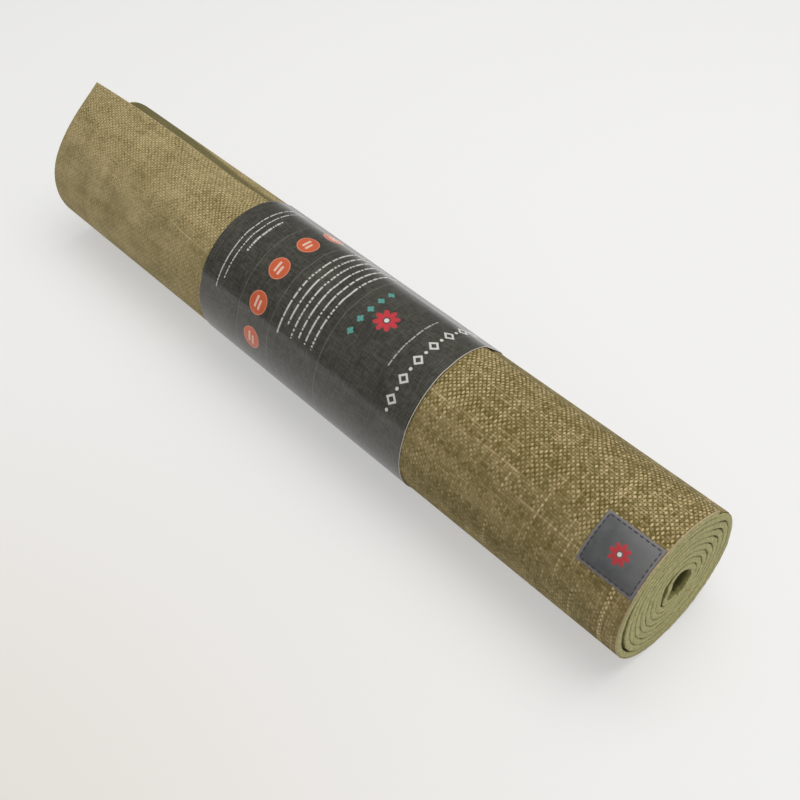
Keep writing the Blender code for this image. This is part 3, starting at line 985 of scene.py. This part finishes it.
DISC_RIM = (0.76, 0.42, 0.28)
BAR_CREAM = (0.80, 0.64, 0.52)
BLOOM_RED = (0.56, 0.040, 0.055)
LEAF_TEAL = (0.10, 0.36, 0.31)
CARD_EDGE = (0.52, 0.49, 0.42)
CARD_WHITE = ((0.66, 0.62, 0.54), (0.78, 0.75, 0.68))


def arc_of(angle):
    """Place along the card, in millimetres, of an angle about the roll."""
    return 1000.0 * math.radians(angle) * PRINT_RADIUS


def ruled(tree, across, around, place, start, stop, width, dash, seed):
    """A thin printed rule round the sleeve, broken into strokes of uneven length and weight."""
    stroke = (around / dash).floor()
    offset = around / dash - stroke
    inked = 1.0 - (offset - chance(tree, stroke, seed, 8.5) * 0.75 - 0.48).above(0.0, 0.16)
    weight = chance(tree, (around / RULE_WEIGHT_LENGTH).floor(), seed, 3.5) * 0.3 + 0.85
    line = 1.0 - ((across - place).abs() / weight - 0.5 * width).above(0.0, 0.35)
    return line * inked * around.within(arc_of(start), arc_of(stop), 0.6)


def added(shades):
    """The sum of a row of numbers."""
    total = shades[0]
    for shade in shades[1:]:
        total = total + shade
    return total


def print_lines(tree, across, around, colour):
    """White rules, and fainter rows of dots between them."""
    rules = added([ruled(tree, across, around, *rule) for rule in RULES])
    rules = rules + ruled(tree, across, around, *FAINT_RULE) * 0.7
    colour = blend_colours(tree, rules.math("MINIMUM", 1.0) * 0.84, colour, PRINT_WHITE)
    spots = (around * (2.0 * math.pi / DOTS_APART)).cos().above(0.1, 0.6)
    rows = [across.within(row - DOT_HALF, row + DOT_HALF, 0.3) * spots for row in DOT_ROWS]
    return blend_colours(tree, added(rows) * 0.26, colour, PRINT_WHITE)


def print_discs(tree, across, around, worn, colour):
    """A row of orange discs round the card, each with a pale rim and two bars."""
    orange = blend_colours(tree, worn.above(0.5, 0.6), *DISC_ORANGE)
    for angle in DISC_ANGLES:
        out = across - DISC_ACROSS
        turned = around - arc_of(angle)
        distance = (out * out + turned * turned).root()
        colour = blend_colours(tree, 1.0 - distance.above(DISC_RADIUS, 0.4), colour, orange)
        rim = distance.within(DISC_RING, DISC_RADIUS, 0.3)
        colour = blend_colours(tree, rim * 0.45, colour, DISC_RIM)
        bars = []
        for low, high, start, stop in DISC_BARS:
            bars.append(out.within(low, high, 0.5) * turned.within(start, stop, 0.5))
        colour = blend_colours(tree, added(bars) * 0.8, colour, BAR_CREAM)
    return colour


def print_flowers(tree, across, around, colour):
    """A red flower with a white heart, beside a row of small teal leaves."""
    inside, distance = flower(across, around, (BLOOM[0], arc_of(BLOOM[1])), BLOOM_RADIUS, petals=8)
    petals = inside.above(0.0, 0.05) * distance.above(0.30, 0.05)
    rib = (inside - 0.16).abs().above(0.035, 0.02)
    colour = blend_colours(tree, petals * (0.6 + rib * 0.4), colour, BLOOM_RED)
    colour = blend_colours(tree, 1.0 - distance.above(0.19, 0.04), colour, PRINT_WHITE)
    for angle in LEAF_ANGLES:
        inside, distance = flower(across, around, (LEAF_ACROSS, arc_of(angle)), LEAF_RADIUS, petals=4)
        colour = blend_colours(tree, inside.above(0.0, 0.12) * 0.9, colour, LEAF_TEAL)
    return colour


def print_lozenges(tree, across, around, colour):
    """A white border of open lozenges with a bead between each two."""
    start = arc_of(LOZENGE_ANGLE)
    lozenge = (around - start) / LOZENGES_APART
    turned = ((lozenge - lozenge.floor() - 0.5) * LOZENGES_APART).abs()
    out = (across - LOZENGE_ACROSS).abs()
    slope = out / LOZENGE_HALF[0] + turned / LOZENGE_HALF[1]
    frame_line = (1.0 - slope.above(1.0, 0.1)) * slope.above(LOZENGE_HOLE, 0.1)
    between = turned - 0.5 * LOZENGES_APART
    beads = 1.0 - (out * out + between * between).root().above(BEAD_RADIUS, 0.3)
    border = around.within(start, start + LOZENGE_COUNT * LOZENGES_APART + LOZENGE_TAIL, 0.3)
    mark = (frame_line + beads) * border
    return blend_colours(tree, mark.math("MINIMUM", 1.0) * 0.93, colour, PRINT_WHITE)


def print_finish():
    """Charcoal linen print with plain rules, dots, discs, flowers and lozenges under a gloss varnish."""
    finish, tree, shader = new_finish("print_finish", roughness=0.28)
    shader.inputs["Specular IOR Level"].default_value = 0.38
    shader.inputs["Coat Weight"].default_value = 0.26
    shader.inputs["Coat Roughness"].default_value = 0.13
    u, v = sheet_place(tree)
    across = u * 1000.0
    around = v * 1000.0
    warp = (across / LINEN_APART).floor()
    weft = (around / LINEN_APART).floor()
    warp_strand = (around / LINEN_STRAND + chance(tree, warp, 4.0, 1.0) * 7.0).floor()
    weft_strand = (across / LINEN_STRAND + chance(tree, weft, 5.0, 2.0) * 7.0).floor()
    warp_tone = chance(tree, warp, warp_strand, 1.0)
    weft_tone = chance(tree, weft, weft_strand, 2.0)
    worn = grain(tree, u, v, WEAR_SIZE, WEAR_SIZE, seed=3.0)
    speckle = grain(tree, u, v, SPECKLE_SIZE, SPECKLE_SIZE, seed=9.0)
    linen = warp_tone * 0.3 + weft_tone * 0.3 + worn * 0.4 + speckle * 0.5
    colour = blend_colours(tree, linen.above(0.75, 0.7), *CHARCOAL)
    stray = warp_tone.above(0.95, 0.03) + weft_tone.above(0.96, 0.03)
    colour = blend_colours(tree, stray * 0.2, colour, STRAY_GREY)
    colour = print_lines(tree, across, around, colour)
    colour = print_discs(tree, across, around, worn, colour)
    colour = print_flowers(tree, across, around, colour)
    colour = print_lozenges(tree, across, around, colour)
    bare = across.above(1000.0 * SLEEVE_MIDDLE[1] - BARE_EDGE, 0.1)
    colour = blend_colours(tree, bare, colour, CARD_EDGE)
    tree.links.new(colour, shader.inputs["Base Color"])
    add_relief(tree, shader, linen * 0.35 + worn * 0.65, PRINT_RELIEF)
    return finish


def card_finish():
    """Uncoated white card, faintly fibrous."""
    finish, tree, shader = new_finish("card_finish", roughness=0.85)
    fibres = clouds(tree, piece_place(tree), FIBRES_PER_METRE)
    tree.links.new(blend_colours(tree, fibres.above(0.5, 0.5), *CARD_WHITE), shader.inputs["Base Color"])
    add_relief(tree, shader, fibres, CARD_RELIEF)
    return finish


card_shape, card_places = card_mesh()
card = make_piece("card_band", card_shape, [print_finish(), card_finish()], flat=card_places)
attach(card, "sleeve")
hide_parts("card_sleeve")


# Glue in the lap
# A narrow strip of dried white glue between the card's start and the lap over it. It is squeezed
# flat, a little uneven along its sides, and nearly hidden.
GLUE_INSET = 1.5
GLUE_SPAN = LAP_SPAN - 2.0 * GLUE_INSET - 1.0
GLUE_FROM = 0.004
GLUE_LENGTH = 0.992
GLUE_GRID = (40, 8)
GLUE_WAVER = 0.8
GLUE_WAVER_LENGTH = 0.07
BUBBLES_PER_METRE = 700.0
GLUE_RELIEF = 0.00005
GLUE_COLOURS = ((0.62, 0.58, 0.42), (0.76, 0.73, 0.60))


def glue_mesh():
    """The strip of glue as a closed mesh on the card's start, from one edge of the card to the other."""
    mesh = bmesh.new()
    rings = []
    for k in range(GLUE_GRID[0] + 1):
        share = GLUE_FROM + GLUE_LENGTH * k / GLUE_GRID[0]
        start = LAP_ANGLE + GLUE_INSET + GLUE_WAVER * wander(share, GLUE_WAVER_LENGTH, 51.0)
        under = [(start + GLUE_SPAN * n / GLUE_GRID[1], 0.0) for n in range(GLUE_GRID[1] + 1)]
        over = [(angle, GLUE_THICKNESS) for angle, _ in reversed(under)]
        ring = []
        for angle, height in under + over:
            turn = math.radians(angle)
            low, high = card_edges(turn)
            x = low + (high - low) * share
            radius = card_radius(angle) + CARD_THICKNESS + GLUE_GAP + height
            ring.append(mesh.verts.new((x, radius * math.cos(turn), radius * math.sin(turn) + AXIS_HEIGHT)))
        rings.append(ring)
    wrap_rings(mesh, rings)
    close_ends(mesh, rings)
    return mesh


def glue_finish():
    """Yellowish dried glue with small bubbles."""
    finish, tree, shader = new_finish("glue_finish", roughness=0.35)
    bubbles = cells(tree, piece_place(tree), BUBBLES_PER_METRE)
    tree.links.new(blend_colours(tree, bubbles.above(0.4, 0.5), *GLUE_COLOURS), shader.inputs["Base Color"])
    add_relief(tree, shader, bubbles, GLUE_RELIEF)
    return finish


glue = make_piece("lap_glue", glue_mesh(), [glue_finish()])
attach(glue, "sleeve")
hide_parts("sleeve_glue_strip")


# Table, light and camera
# The mat lies on a pale table by a large soft window up to its right, in a plain light room, and is
# seen from its patched end, above and to the front.
PALE = (0.888, 0.886, 0.878)
FALLOFF_SHADE = (0.75, 0.695, 0.62)
FALLOFF_PLACE = (0.14, -0.55)
FALLOFF_EDGE = (0.22, 0.80)
TABLE_HALF = 8.0
TABLE_FAR = (1.6, 1.4)
WINDOW_SIZE = 1.6
WINDOW_POWER = 23.0
WINDOW_COLOUR = (1.0, 0.99, 0.97)
WINDOW_PLACE = (0.25, 0.35, 1.8)
ROOM_LEVEL = 0.45
HORIZON = (-0.03, 0.10)
CEILING_DIM = 0.87
CAMERA_LENS = 53.707
CAMERA_FILM = 36.0
CAMERA_PLACE = (0.49718, -0.40981, 0.65484)
CAMERA_TILT = 43.917
CAMERA_TURN = 46.846


def ray_kinds(tree):
    """1 for what the camera sees straight, and 1 for what gloss or glass shows."""
    rays = tree.nodes.new("ShaderNodeLightPath")
    seen = Shade(tree, rays.outputs["Is Camera Ray"])
    glossy = Shade(tree, rays.outputs["Is Glossy Ray"])
    return seen, glossy.math("MAXIMUM", Shade(tree, rays.outputs["Is Transmission Ray"]))


def table_finish():
    """Pale top with painted shade, darker and warmer, in front of the mat. It glows with its own colour, a
    painted light: half of what the camera sees near the mat, lifting the mat's shadow there, and all of it
    far off, so the far table is an even pale."""
    finish, tree, shader = new_finish("table_finish", roughness=0.8)
    x, y, _ = parts_of(tree, piece_place(tree))
    # Painted shade: a broad darker, warmer falloff on the table in front of the mat.
    right = x - FALLOFF_PLACE[0]
    behind = y - FALLOFF_PLACE[1]
    off_falloff = (right * right + behind * behind).root()
    away = (x * x + y * y).root().above(*TABLE_FAR)
    colour = blend_colours(tree, off_falloff.above(*FALLOFF_EDGE), FALLOFF_SHADE, PALE)
    tree.links.new(colour, shader.inputs["Base Color"])
    # Painted light: the table glows with its own colour, which lifts the mat's shadow near the mat.
    table_glow = tree.nodes.new("ShaderNodeEmission")
    tree.links.new(colour, table_glow.inputs["Color"])
    seen, shown = ray_kinds(tree)
    share = seen * (away * 0.5 + 0.5) + shown * (0.5 - away * 0.5)
    mix = tree.nodes.new("ShaderNodeMixShader")
    tree.links.new(share.socket, mix.inputs[0])
    tree.links.new(shader.outputs[0], mix.inputs[1])
    tree.links.new(table_glow.outputs[0], mix.inputs[2])
    tree.links.new(mix.outputs[0], tree.nodes["Material Output"].inputs["Surface"])
    return finish


def light_room():
    """Even light from a plain pale room, whose upper part looks darker in the card's gloss."""
    room = bpy.data.worlds.new("room")
    room.use_nodes = True
    tree = room.node_tree
    light = tree.nodes["Background"]
    height = parts_of(tree, tree.nodes.new("ShaderNodeTexCoord").outputs["Generated"])[2]
    seen, shown = ray_kinds(tree)
    rest = 1.0 - ROOM_LEVEL
    level = seen * rest + shown * (rest - height.above(*HORIZON) * CEILING_DIM) + ROOM_LEVEL
    tree.links.new(level.socket, light.inputs["Strength"])
    tree.links.new(blend_colours(tree, seen, (1.0, 1.0, 1.0), PALE), light.inputs["Color"])
    return room


table_mesh = bmesh.new()
bmesh.ops.create_grid(table_mesh, x_segments=1, y_segments=1, size=TABLE_HALF)
table_data = bpy.data.meshes.new("table_top")
table_mesh.to_mesh(table_data)
table_mesh.free()
table_data.materials.append(table_finish())
table = bpy.data.objects.new("table_top", table_data)
bpy.context.scene.collection.objects.link(table)

window_data = bpy.data.lights.new("window", "AREA")
window_data.shape = "SQUARE"
window_data.size = WINDOW_SIZE
window_data.energy = WINDOW_POWER
window_data.color = WINDOW_COLOUR
window = bpy.data.objects.new("window", window_data)
window.location = WINDOW_PLACE
window.rotation_euler = (-window.location).to_track_quat("-Z", "Y").to_euler()
bpy.context.scene.collection.objects.link(window)
bpy.context.scene.world = light_room()
bpy.context.scene.view_settings.view_transform = "Standard"

camera_data = bpy.data.cameras.new("camera")
camera_data.lens = CAMERA_LENS
camera_data.sensor_width = CAMERA_FILM
camera = bpy.data.objects.new("camera", camera_data)
camera.location = CAMERA_PLACE
camera.rotation_euler = Euler((math.radians(CAMERA_TILT), 0.0, math.radians(CAMERA_TURN)))
bpy.context.scene.collection.objects.link(camera)
bpy.context.scene.camera = camera
